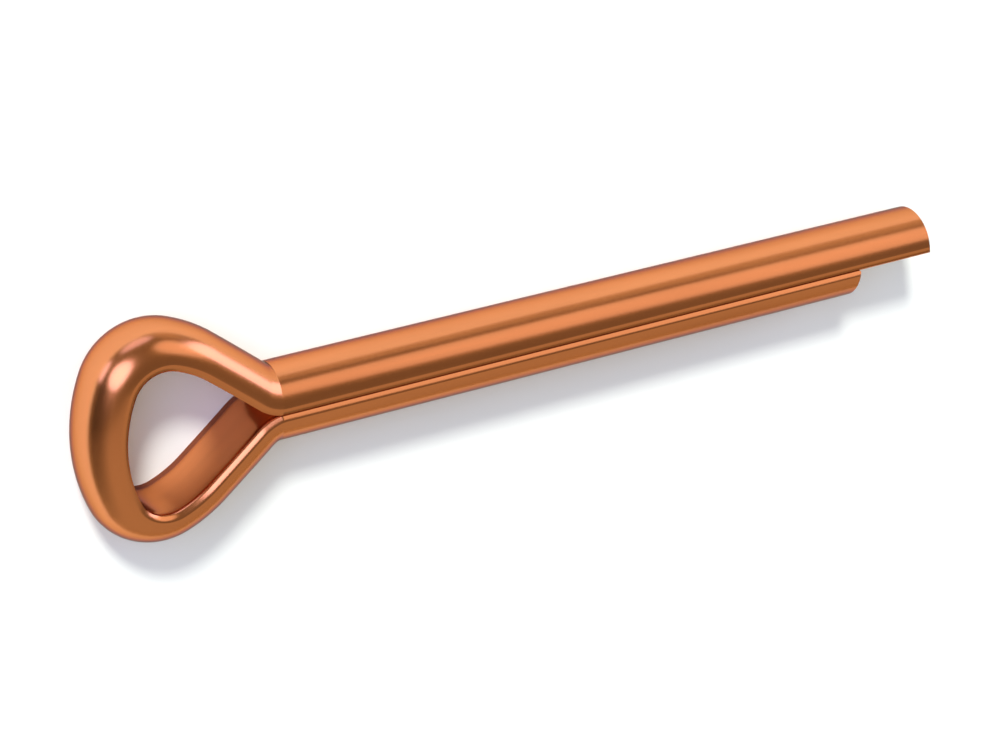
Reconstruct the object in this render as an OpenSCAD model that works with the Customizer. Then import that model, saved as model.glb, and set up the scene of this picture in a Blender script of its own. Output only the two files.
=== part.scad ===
// Cotter pin, also called a split pin: one length of half-round wire, folded on itself into
// an eye and a round shank. Its two legs lie flat to flat, and one of them reaches further.
//
// The pin lies on its side, as it does on a bench. X runs along the shank to the tips, Y across
// the pair of legs, and Z up. The origin is on the shank's axis, at the neck, where the two
// flat faces part to go round the eye. The eye is a chain of tangent bends, and each bend is
// given by the inside radius of its flat face and by the wire's slope to the shank at its ends.

/* [Shank] */
// Diameter of the round shank that the two legs make together
shank_d = 5.75; // [3:0.05:8]
// Shorter leg, from the neck to its tip
short_leg = 50; // [20:1:90]
// How much further the longer leg reaches
leg_step = 6.8; // [0.5:0.1:12]
// Gap between the flat faces of the closed legs
leg_gap = 0.08; // [0.04:0.01:0.4]
// Rounding of the edges where the flat face meets the round one
edge_r = 0.1; // [0.05:0.01:0.4]

/* [Neck] */
// Slope to which the tight crease at the neck turns each leg, in degrees
crease_slope = 18.5; // [8:0.5:30]
// Radius of the hollow that the crease leaves in the round side
crease_hollow_r = 0.1; // [0.05:0.05:1]
// Radius of the hollow in the round side of the bend after it, which opens the eye further
neck_hollow_r = 0.8; // [0.1:0.1:8]

/* [Eye] */
// Clear width inside the eye, at its widest
eye_w = 10.9; // [8:0.1:20]
// Slope of the arm where the neck ends, in degrees
arm_slope = 40; // [32:0.5:52]
// How much each arm bows between the neck and the shoulder, in degrees
arm_bow = 1; // [0.5:0.5:6]
// Inside radius of the shoulder, between the arm and the corner
shoulder_r = 8.4; // [5:0.1:14]
// Slope of the wire where the shoulder meets the corner, in degrees
shoulder_slope = 20.5; // [5:0.5:28]
// Inside radius of the corner, between the shoulder and the crown
corner_r = 2.4; // [1:0.1:4]
// Half of the angle through which the crown turns, in degrees
crown_turn = 22.5; // [10:0.5:60]

/* [Hidden] */
$fn = 96;

shank_r = shank_d / 2;
half_gap = leg_gap / 2;
bronze = [0.78, 0.48, 0.28];
bow_slope = arm_slope - arm_bow;

// Radii of the flat face in the crease and in the bend after it
crease_r = shank_r - half_gap + crease_hollow_r;
neck_r = shank_r - half_gap + neck_hollow_r;

// The crown's radius and the arm's follow from the eye's width
crown_r = corner_r + (eye_w / 2 - corner_r) / sin(crown_turn);
arm_r = (eye_w / 2 - half_gap
    - crease_r * (1 - cos(crease_slope))
    - neck_r * (cos(crease_slope) - cos(arm_slope))
    - shoulder_r * (cos(shoulder_slope) - cos(bow_slope))
    - corner_r * (1 - cos(shoulder_slope))) / (cos(bow_slope) - cos(arm_slope));

// Centre of the small arc on each edge of the wire, and the point where it meets the big arc
edge_x = sqrt(pow(shank_r - edge_r, 2) - pow(half_gap + edge_r, 2));
touch = [edge_x, half_gap + edge_r] * shank_r / (shank_r - edge_r) - [0, half_gap];

// The point at radius r from c, on the side to which the round face looks at a slope
function outward(c, r, slope) = c + r * [sin(slope), cos(slope)];

// Centres of the bends, each on one line with the last at the slope where the two meet
crease_c = [0, half_gap + crease_r];
neck_c = outward(crease_c, neck_r - crease_r, crease_slope);
arm_c = outward(neck_c, -neck_r - arm_r, arm_slope);
shoulder_c = outward(arm_c, arm_r - shoulder_r, bow_slope);
corner_c = outward(shoulder_c, shoulder_r - corner_r, shoulder_slope);
crown_c = [corner_c.x + (crown_r - corner_r) * cos(crown_turn), 0];

// Moves to p in a coarse step and a fine one, so that meeting faces agree to a millionth
module at(p) {
    coarse = [for (x = p) round(10 * x) / 10];
    translate(coarse) translate(p - coarse) children();
}

// Section of the wire: a half round whose arc is centred on the shank's axis, with the two
// edges of its flat rounded by small arcs that are tangent to the flat and to the big arc
module wire_section() {
    intersection() {
        translate([0, -half_gap]) circle(shank_r);
        translate([-shank_r, touch.y]) square([shank_d, shank_r]);
    }
    for (side = [0, 1]) mirror([side, 0]) at([edge_x, 0]) {
        translate([0, edge_r]) circle(edge_r);
        translate([-shank_r, 0]) square([shank_r, touch.y]);
    }
}

// A bend of the wire about c, from one slope to another, its flat on a radius of r.
// The round face looks away from c, or towards it where the wire bends the other way
module bend(c, r, from_slope, to_slope, towards = false) {
    start = (towards ? 270 : 90) - max(from_slope, to_slope);
    at(c) rotate_extrude(angle = abs(to_slope - from_slope), start = start)
        at([r, 0]) rotate(towards ? 90 : -90) wire_section();
}

module leg(len) {
    translate([0, half_gap, 0]) rotate([0, 90, 0]) linear_extrude(len) wire_section();
}

// One leg with its neck, arm, shoulder and corner
module half_pin(leg_len) {
    leg(leg_len);
    bend(crease_c, crease_r, 0, crease_slope, towards = true);
    bend(neck_c, neck_r, crease_slope, arm_slope, towards = true);
    bend(arm_c, arm_r, arm_slope, bow_slope);
    bend(shoulder_c, shoulder_r, bow_slope, shoulder_slope);
    bend(corner_c, corner_r, shoulder_slope, crown_turn - 90);
}

module cotter_pin() {
    color(bronze) {
        half_pin(short_leg + leg_step);
        mirror([0, 1, 0]) half_pin(short_leg);
        bend(crown_c, crown_r, crown_turn - 90, -crown_turn - 90);
    }
}

cotter_pin();
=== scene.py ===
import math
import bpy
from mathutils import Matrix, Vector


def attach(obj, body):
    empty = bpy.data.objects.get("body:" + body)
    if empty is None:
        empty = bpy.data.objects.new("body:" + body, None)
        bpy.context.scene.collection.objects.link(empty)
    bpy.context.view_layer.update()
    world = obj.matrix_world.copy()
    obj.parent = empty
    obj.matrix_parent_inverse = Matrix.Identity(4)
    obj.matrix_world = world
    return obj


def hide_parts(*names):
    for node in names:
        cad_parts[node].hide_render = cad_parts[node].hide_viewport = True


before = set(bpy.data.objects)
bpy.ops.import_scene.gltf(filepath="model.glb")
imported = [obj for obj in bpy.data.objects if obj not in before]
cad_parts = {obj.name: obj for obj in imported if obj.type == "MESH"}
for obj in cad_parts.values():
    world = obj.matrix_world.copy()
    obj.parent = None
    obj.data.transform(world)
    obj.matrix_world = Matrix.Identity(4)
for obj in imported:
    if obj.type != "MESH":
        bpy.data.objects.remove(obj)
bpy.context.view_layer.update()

# A cotter pin: one length of half-round bronze wire, folded on itself into an eye and a round
# shank. It lies on its side on a white table. The pin's lengths are in millimetres and all angles
# in degrees, until Blender is given them in metres and radians.

MM = 0.001


# ---- The wire's path ----------------------------------------------------------------------
# The line along the middle of the wire's flat face, as a bending tool leaves it. It is a chain
# of tangent bends from the neck to the crown, the same on both sides of the shank's axis.

shank_d = 5.75
short_leg = 50
leg_step = 6.8
leg_gap = 0.08
eye_w = 10.9

# The slope is the path's angle to the shank at the end of a bend. A hollow is what is left of a
# bend's radius on the wire's round back, where the back is on the inside of the bend
crease_slope, crease_hollow_r = 18.5, 0.1
arm_slope, neck_hollow_r = 40, 0.8
arm_bow = 1
shoulder_slope, shoulder_r = 20.5, 8.4
corner_r = 2.4
crown_turn = 22.5
# The crease is a sharp fold, where the metal's slope jumps from the shank's to almost the arm's
fold_slope = 33

shank_r = shank_d / 2
half_gap = leg_gap / 2
bow_slope = arm_slope - arm_bow
crease_r = shank_r - half_gap + crease_hollow_r
neck_r = shank_r - half_gap + neck_hollow_r


def cos(degrees):
    return math.cos(math.radians(degrees))


def sin(degrees):
    return math.sin(math.radians(degrees))


# The crown's and the arm's radii close the eye at its full width
crown_r = corner_r + (eye_w / 2 - corner_r) / sin(crown_turn)
arm_r = (eye_w / 2 - half_gap
         - crease_r * (1 - cos(crease_slope))
         - neck_r * (cos(crease_slope) - cos(arm_slope))
         - shoulder_r * (cos(shoulder_slope) - cos(bow_slope))
         - corner_r * (1 - cos(shoulder_slope))) / (cos(bow_slope) - cos(arm_slope))

# Each bend: its name, the radius of the flat face (negative where the round back is on the
# inside of the bend), the slopes at its two ends, and the number of steps along it
bends = [("crease", -crease_r, 0, crease_slope, 8),
         ("neck", -neck_r, crease_slope, arm_slope, 16),
         ("arm", arm_r, arm_slope, bow_slope, 10),
         ("shoulder", shoulder_r, bow_slope, shoulder_slope, 20),
         ("corner", corner_r, shoulder_slope, crown_turn - 90, 60),
         ("crown", crown_r, crown_turn - 90, -90, 14)]


def upper_half(leg):
    """Points from a tip to the crown, each with the slope that the metal shows there."""
    leg_steps = 12
    line = [(Vector((leg * (1 - i / leg_steps), half_gap, 0)), 0) for i in range(leg_steps + 1)]
    for bend, radius, start, end, count in bends:
        centre = line[-1][0] - radius * Vector((sin(start), cos(start), 0))
        for i in range(1, count + 1):
            slope = start + (end - start) * i / count
            place = centre + radius * Vector((sin(slope), cos(slope), 0))
            if bend == "crease":
                slope = start if 2 * i < count else fold_slope
            elif bend == "neck":
                slope = max(slope, fold_slope)
            line.append((place, slope))
    return line


# The upper side runs to the crown and the lower side back from it. The slope becomes the way
# that the round back faces, which turns from 90 degrees at one tip to 270 at the other
path = [(place, 90 - slope) for place, slope in upper_half(short_leg + leg_step)]
path += [(Vector((place.x, -place.y, 0)), 270 + slope)
         for place, slope in upper_half(short_leg)[-2::-1]]

path_curve = bpy.data.curves.new("flat_face_path", "CURVE")
path_curve.dimensions = "3D"
spline = path_curve.splines.new("POLY")
spline.points.add(len(path) - 1)
for point, (place, back_faces) in zip(spline.points, path):
    point.co = (*(place * MM), 1)
    point.tilt = math.radians(back_faces)
path_line = bpy.data.objects.new("flat_face_path", path_curve)
bpy.context.scene.collection.objects.link(path_line)


# ---- The wire -----------------------------------------------------------------------------
# Half-round drawn wire: a round back, a flat face and soft shoulders between them, left by the
# rolls. The section is carried square to the path from one sheared tip to the other.

class Nodes:
    """Adds nodes to a tree and joins them, so that a rule reads in one line."""

    def __init__(self, tree):
        self.tree = tree

    def add(self, kind, settings=None, outlet=0, **inputs):
        """A node whose inputs are set or joined by name, or by number as _0, _1 and so on."""
        node = self.tree.nodes.new(kind)
        for name, value in (settings or {}).items():
            setattr(node, name, value)
        for key, value in inputs.items():
            place = int(key[1:]) if key[0] == "_" else key.replace("_", " ")
            if isinstance(value, bpy.types.NodeSocket):
                self.tree.links.new(value, node.inputs[place])
            else:
                node.inputs[place].default_value = value
        return node.outputs[outlet]

    def math(self, operation, *values):
        return self.add("ShaderNodeMath", {"operation": operation},
                        **{f"_{i}": value for i, value in enumerate(values)})

    def vector(self, operation, *values):
        return self.add("ShaderNodeVectorMath", {"operation": operation},
                        outlet=1 if operation == "DOT_PRODUCT" else 0,
                        **{f"_{i}": value for i, value in enumerate(values)})


def wire_nodes():
    """Geometry Nodes that carry the wire's section along the path of its flat face."""
    points_round, flat_cuts = 180, 29.0
    edge_turn = math.radians(54)      # how far the metal has turned where flat and back meet
    flat_ease, back_ease = 2.0, 2.5   # how gently the turn begins on each side of the edge
    back_above = 0.2                  # the back starts this share of the edge's radius up
    tip_area = 1e-6                   # only the two tips have faces larger than this, in m2

    tree = bpy.data.node_groups.new("Half-round wire", "GeometryNodeTree")
    sockets = tree.interface
    sockets.new_socket("Wire", in_out="OUTPUT", socket_type="NodeSocketGeometry")
    sockets.new_socket("Path", in_out="INPUT", socket_type="NodeSocketGeometry")
    for name in ("Wire radius", "Half gap", "Edge radius", "Shoulder width", "Shoulder angle"):
        sockets.new_socket(name, in_out="INPUT", socket_type="NodeSocketFloat")
    sockets.new_socket("Metal", in_out="INPUT", socket_type="NodeSocketMaterial")
    n = Nodes(tree)
    given = tree.nodes.new("NodeGroupInput").outputs
    path_in, wire_r, gap, edge_r, soft_width, soft_angle, metal = given[:7]

    # Centre of the small arc on the edge, which touches the flat and the round back
    reach = n.math("SUBTRACT", wire_r, edge_r)
    rise = n.math("ADD", edge_r, gap)
    edge_out = n.math("SQRT", n.math("SUBTRACT", n.math("POWER", reach, 2.0),
                                     n.math("POWER", rise, 2.0)))
    back_from = n.math("ADD", math.pi / 2, n.math("ARCTAN2", rise, edge_out))

    # The section's points are evenly spaced by the direction that they face, from the flat
    # round the back to the flat again
    index = n.add("GeometryNodeInputIndex")
    turned = n.math("MULTIPLY", n.math("ADD", index, 0.5), 2 * math.pi / points_round)
    side = n.math("SIGN", n.math("SUBTRACT", math.pi, turned))
    facing = n.math("MINIMUM", turned, n.math("SUBTRACT", 2 * math.pi, turned))
    on_back = n.math("GREATER_THAN", facing, back_from)
    on_edge = n.math("SUBTRACT", 1.0, on_back)
    radius = n.math("ADD", n.math("MULTIPLY", on_edge, edge_r),
                    n.math("MULTIPLY", on_back, wire_r))
    across = n.math("MULTIPLY", side,
                    n.math("ADD", n.math("MULTIPLY", on_edge, edge_out),
                           n.math("MULTIPLY", radius, n.math("SINE", facing))))
    above = n.math("SUBTRACT", n.math("SUBTRACT", n.math("MULTIPLY", on_edge, edge_r),
                                      n.math("MULTIPLY", on_back, gap)),
                   n.math("MULTIPLY", radius, n.math("COSINE", facing)))
    ring = n.add("GeometryNodeCurvePrimitiveCircle", Resolution=points_round)
    ring = n.add("GeometryNodeSetPosition", Geometry=ring,
                 Position=n.add("ShaderNodeCombineXYZ", X=above,
                                Y=n.math("MULTIPLY", across, -1.0)))
    on_flat = n.math("COMPARE", index, points_round - 1.0, 0.5)
    ring = n.add("GeometryNodeSubdivideCurve", Curve=ring,
                 Cuts=n.math("MULTIPLY", on_flat, flat_cuts))

    # The shoulders: the flat leans over towards its edges, and the back takes over from there
    above = n.add("ShaderNodeSeparateXYZ", Vector=n.add("GeometryNodeInputPosition"))
    across = n.math("MULTIPLY", above.node.outputs[1], -1.0)
    out = n.math("ABSOLUTE", across)
    lean = n.add("ShaderNodeMapRange", Value=out,
                 From_Min=n.math("SUBTRACT", edge_out, soft_width), From_Max=edge_out)
    flat_turn = n.math("MULTIPLY", n.math("POWER", lean, flat_ease), edge_turn)
    back_angle = n.math("ARCTAN2", n.math("ADD", above, gap), out)
    begun = n.add("ShaderNodeMapRange", Value=back_angle, From_Max=soft_angle)
    back_turn = n.add("ShaderNodeMapRange", Value=n.math("POWER", begun, back_ease),
                      To_Min=edge_turn, To_Max=n.math("ADD", soft_angle, math.pi / 2))
    past = n.math("MAXIMUM", n.math("SUBTRACT", back_angle, soft_angle), 0.0)
    back_turn = n.math("ADD", back_turn, past)
    is_back = n.math("GREATER_THAN", above, n.math("MULTIPLY", edge_r, back_above))
    turn = n.math("ADD", n.math("MULTIPLY", is_back, back_turn),
                  n.math("MULTIPLY", n.math("SUBTRACT", 1.0, is_back), flat_turn))
    leaning = n.add("ShaderNodeCombineXYZ",
                    X=n.math("MULTIPLY", n.math("COSINE", turn), -1.0),
                    Y=n.math("MULTIPLY", n.math("SINE", turn), n.math("SIGN", across)))

    def store(geometry, name, value):
        return n.add("GeometryNodeStoreNamedAttribute",
                     {"data_type": "FLOAT_VECTOR", "domain": "POINT"},
                     Geometry=geometry, Name=name, Value=value)

    def stored(name):
        return n.add("GeometryNodeInputNamedAttribute", {"data_type": "FLOAT_VECTOR"}, Name=name)

    ring = store(ring, "leaning", leaning)
    ring = store(ring, "place", n.add("GeometryNodeInputPosition"))

    # The sweep. Outward is the way from the flat face into the round back, which the path's
    # tilt carries
    back_faces = n.add("GeometryNodeInputCurveTilt")
    outward = n.add("ShaderNodeCombineXYZ", X=n.math("COSINE", back_faces),
                    Y=n.math("SINE", back_faces))
    line = store(path_in, "outward", outward)
    line = n.add("GeometryNodeSetCurveTilt", Curve=line, Tilt=0.0)
    length = n.add("GeometryNodeSplineParameter", outlet=1)
    line = store(line, "along", n.add("ShaderNodeCombineXYZ", Z=length))
    swept = n.add("GeometryNodeCurveToMesh", Curve=line, Profile_Curve=ring, Fill_Caps=True)

    # The shoulders' lean, turned from the section to the place on the path. The two sheared
    # tips stay flat
    lean_out = n.add("ShaderNodeSeparateXYZ", Vector=stored("leaning"))
    lean_side = lean_out.node.outputs[1]
    soft = n.vector("ADD",
                    n.vector("MULTIPLY", stored("outward"),
                             n.add("ShaderNodeCombineXYZ", X=lean_out, Y=lean_out, Z=lean_out)),
                    n.add("ShaderNodeCombineXYZ", Z=lean_side))
    tip = n.math("GREATER_THAN", n.add("GeometryNodeInputMeshFaceArea"), tip_area)
    facing_out = n.add("GeometryNodeSwitch", {"input_type": "VECTOR"}, Switch=tip, _1=soft,
                       _2=n.add("GeometryNodeInputNormal", outlet=1))
    swept = n.add("GeometryNodeSetMeshNormal", {"mode": "FREE", "domain": "CORNER"},
                  Mesh=swept, Custom_Normal=facing_out)

    # Where each point is in the section and along the wire, for the drawn grain
    swept = store(swept, "grain", n.vector("ADD", stored("place"), stored("along")))
    for name in ("leaning", "outward", "place", "along"):
        swept = n.add("GeometryNodeRemoveAttribute", Geometry=swept, Name=name)
    real = n.add("GeometryNodeRealizeInstances", Geometry=swept)
    done = n.add("GeometryNodeSetMaterial", Geometry=real, Material=metal)
    tree.links.new(done, tree.nodes.new("NodeGroupOutput").inputs[0])
    return tree


# ---- Bronze -------------------------------------------------------------------------------
# Bright drawn bronze with a warm, coppery colour. Drawing and rolling leave very fine lines
# along the wire, and handling leaves small changes in how sharp its reflections are.

deep_bronze = (0.72, 0.215, 0.05, 1)
light_bronze = (0.81, 0.25, 0.062, 1)
edge_tint = (0.11, 0.13, 0.05, 1)
line_scale, line_stretch = 9000, 0.006
tone_scale, tone_stretch = 700, 0.1
polish, line_dulling, tone_dulling = 0.15, 0.08, 0.08
line_depth = 0.02 * MM

bronze = bpy.data.materials.new("bright_bronze")
bronze.use_nodes = True
shader = bronze.node_tree.nodes["Principled BSDF"]
b = Nodes(bronze.node_tree)
grain = b.add("ShaderNodeAttribute", {"attribute_name": "grain"}, outlet=1)
drawn = b.add("ShaderNodeMapping", Vector=grain, Scale=(1, 1, line_stretch))
lines = b.add("ShaderNodeTexNoise", Vector=drawn, Scale=line_scale, Detail=3, Roughness=0.6)
handled = b.add("ShaderNodeMapping", Vector=grain, Scale=(1, 1, tone_stretch))
broad = b.add("ShaderNodeTexNoise", Vector=handled, Scale=tone_scale, Detail=4)
tone = b.add("ShaderNodeMapRange", Value=broad, From_Min=0.3, From_Max=0.7)
colour = b.add("ShaderNodeMix", {"data_type": "RGBA"}, outlet=2, Factor=tone,
               _6=deep_bronze, _7=light_bronze)
rough = b.math("ADD", b.math("MULTIPLY", lines, line_dulling),
               b.math("MULTIPLY_ADD", broad, tone_dulling, polish))
bump = b.add("ShaderNodeBump", Height=lines, Strength=0.04, Distance=line_depth)
for name, value in (("Base Color", colour), ("Roughness", rough), ("Normal", bump)):
    bronze.node_tree.links.new(value, shader.inputs[name])
for name, value in (("Metallic", 1), ("Specular Tint", edge_tint), ("Coat Weight", 0.25),
                    ("Coat IOR", 2.7), ("Coat Roughness", 0.18)):
    shader.inputs[name].default_value = value


# ---- One piece of wire from tip to tip ----------------------------------------------------
# The pin itself: the wire's section along the whole path, in bright bronze. Nothing is joined
# to it, and its two legs stay together by the fold alone.

edge_r = 0.13
shoulder_width, shoulder_angle = 1.15, 11

sweep = path_line.modifiers.new("wire", "NODES")
sweep.node_group = wire_nodes()
sizes = {"Wire radius": shank_r * MM, "Half gap": half_gap * MM, "Edge radius": edge_r * MM,
         "Shoulder width": shoulder_width * MM, "Shoulder angle": math.radians(shoulder_angle),
         "Metal": bronze}
for item in sweep.node_group.interface.items_tree:
    if item.in_out == "INPUT" and item.name in sizes:
        sweep[item.identifier] = sizes[item.name]

now = bpy.context.evaluated_depsgraph_get()
pin_mesh = bpy.data.meshes.new_from_object(path_line.evaluated_get(now))
bpy.data.objects.remove(path_line)
pin = bpy.data.objects.new("cotter_pin_wire", pin_mesh)
bpy.context.scene.collection.objects.link(pin)
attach(pin, "root")
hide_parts("cotter_pin")


# ---- Table --------------------------------------------------------------------------------
# A plain white painted table top, on which the pin lies on its side. It reaches 3 metres to each
# side, so that its far edge stays out of low views.

table_half = 3
table_z = -shank_r * MM
table_white = (0.91, 0.95, 0.86, 1)
table_glow = 0.08

table_mesh = bpy.data.meshes.new("table_top")
table_mesh.from_pydata([(x * table_half, y * table_half, table_z)
                        for x, y in ((-1, -1), (1, -1), (1, 1), (-1, 1))], [], [(0, 1, 2, 3)])
table = bpy.data.objects.new("table_top", table_mesh)
bpy.context.scene.collection.objects.link(table)
white = bpy.data.materials.new("white_table")
white.use_nodes = True
paint = white.node_tree.nodes["Principled BSDF"]
for name, value in (("Base Color", table_white), ("Roughness", 0.9), ("Specular IOR Level", 0),
                    ("Emission Color", (1, 1, 1, 1))):
    paint.inputs[name].default_value = value
# A faint glow takes the table up to white, for the eye and in what mirrors it, and puts no more
# light on the pin
t = Nodes(white.node_tree)
rays = white.node_tree.nodes.new("ShaderNodeLightPath").outputs
seen = t.math("ADD", rays["Is Camera Ray"],
              t.math("ADD", rays["Is Glossy Ray"], rays["Is Transmission Ray"]))
glow = t.math("MULTIPLY", seen, table_glow)
white.node_tree.links.new(glow, paint.inputs["Emission Strength"])
table_mesh.materials.append(white)


# ---- Light --------------------------------------------------------------------------------
# A room with one darker side, soft boxes round the table, and a small hard lamp for the
# shadow, which polished metal doesn't show. Azimuths turn from +X to +Y, heights go up from
# the table.

daylight = (0.92, 1, 1.7)
warm = (1, 0.93, 0.72)
neutral = (1, 0.96, 0.95)

world = bpy.data.worlds.new("room")
bpy.context.scene.world = world
world.use_nodes = True
background = world.node_tree.nodes["Background"].inputs
w = Nodes(world.node_tree)
toward = w.add("ShaderNodeTexCoord")
smooth = {"interpolation_type": "SMOOTHSTEP"}
near_side = w.vector("DOT_PRODUCT", toward, (cos(272), sin(272), 0))
walls = w.add("ShaderNodeMapRange", smooth, Value=near_side,
              From_Min=0.18, From_Max=0.31, To_Min=0.22, To_Max=0.52)
doorway = w.vector("DOT_PRODUCT", toward, (cos(188), sin(188), 0.05))
dim = w.add("ShaderNodeMapRange", smooth, Value=doorway,
            From_Min=0.5, From_Max=0.95, To_Min=1, To_Max=0.35)
world.node_tree.links.new(w.math("MULTIPLY", walls, dim), background["Strength"])
background["Color"].default_value = (*warm, 1)


def direction(azimuth, height):
    """The way from the pin towards a lamp."""
    return Vector((cos(azimuth) * cos(height), sin(azimuth) * cos(height), sin(height)))


def soft_box(name, azimuth, height, wide, tall, level, colour):
    """A lamp in that direction, filling so many degrees across and up, at that brightness."""
    distance = 1.5  # metres
    light = bpy.data.lights.new(name, "AREA")
    light.shape = "ELLIPSE"
    light.size = 2 * distance * math.tan(math.radians(wide / 2))
    light.size_y = 2 * distance * math.tan(math.radians(tall / 2))
    light.energy = level * math.pi * light.size * light.size_y * math.pi / 4
    light.color = colour
    lamp = bpy.data.objects.new(name, light)
    way = direction(azimuth, height)
    lamp.location = way * distance
    lamp.rotation_euler = way.to_track_quat("Z", "Y").to_euler()
    bpy.context.scene.collection.objects.link(lamp)


soft_box("box_over_the_eye", 145, 46, 40, 42, 2.4, daylight)
soft_box("box_past_the_tips", 20, 16, 28, 28, 2.3, daylight)
soft_box("strip_over_the_shank", 45, 37, 46, 32, 0.9, neutral)
soft_box("low_box", 150, 6, 30, 14, 1.8, daylight)
soft_box("low_strip", 97, 11, 44, 18, 1.1, daylight)
soft_box("low_strip_by_the_shank", 56, 7, 36, 16, 0.35, warm)

sun = bpy.data.lights.new("lamp_for_shadow", "SUN")
sun.energy = 2.9
sun.angle = math.radians(9)
sun_lamp = bpy.data.objects.new("lamp_for_shadow", sun)
sun_lamp.rotation_euler = direction(114, 36).to_track_quat("Z", "Y").to_euler()
sun_lamp.visible_glossy = False
bpy.context.scene.collection.objects.link(sun_lamp)


# ---- Camera -------------------------------------------------------------------------------
# A long lens, which looks down on the pin from beyond the eye, on the longer leg's side.

aim = Vector((18.890, -2.5745, 0))
distance = 207.461
forward = Vector((0.4707, -0.4209, -0.7755)).normalized()
right = Vector((0.8549, 0, 0.5189))
right = (right - forward * right.dot(forward)).normalized()
up = right.cross(forward)
place = (aim - distance * forward) * MM

camera_data = bpy.data.cameras.new("camera")
camera_data.sensor_width = 36
camera_data.lens = 101.355
camera_data.clip_start = 0.001
camera_data.clip_end = 10
camera = bpy.data.objects.new("camera", camera_data)
camera.matrix_world = Matrix((
    (right.x, up.x, -forward.x, place.x),
    (right.y, up.y, -forward.y, place.y),
    (right.z, up.z, -forward.z, place.z),
    (0, 0, 0, 1)))
bpy.context.scene.collection.objects.link(camera)
bpy.context.scene.camera = camera
bpy.context.scene.view_settings.view_transform = "Standard"
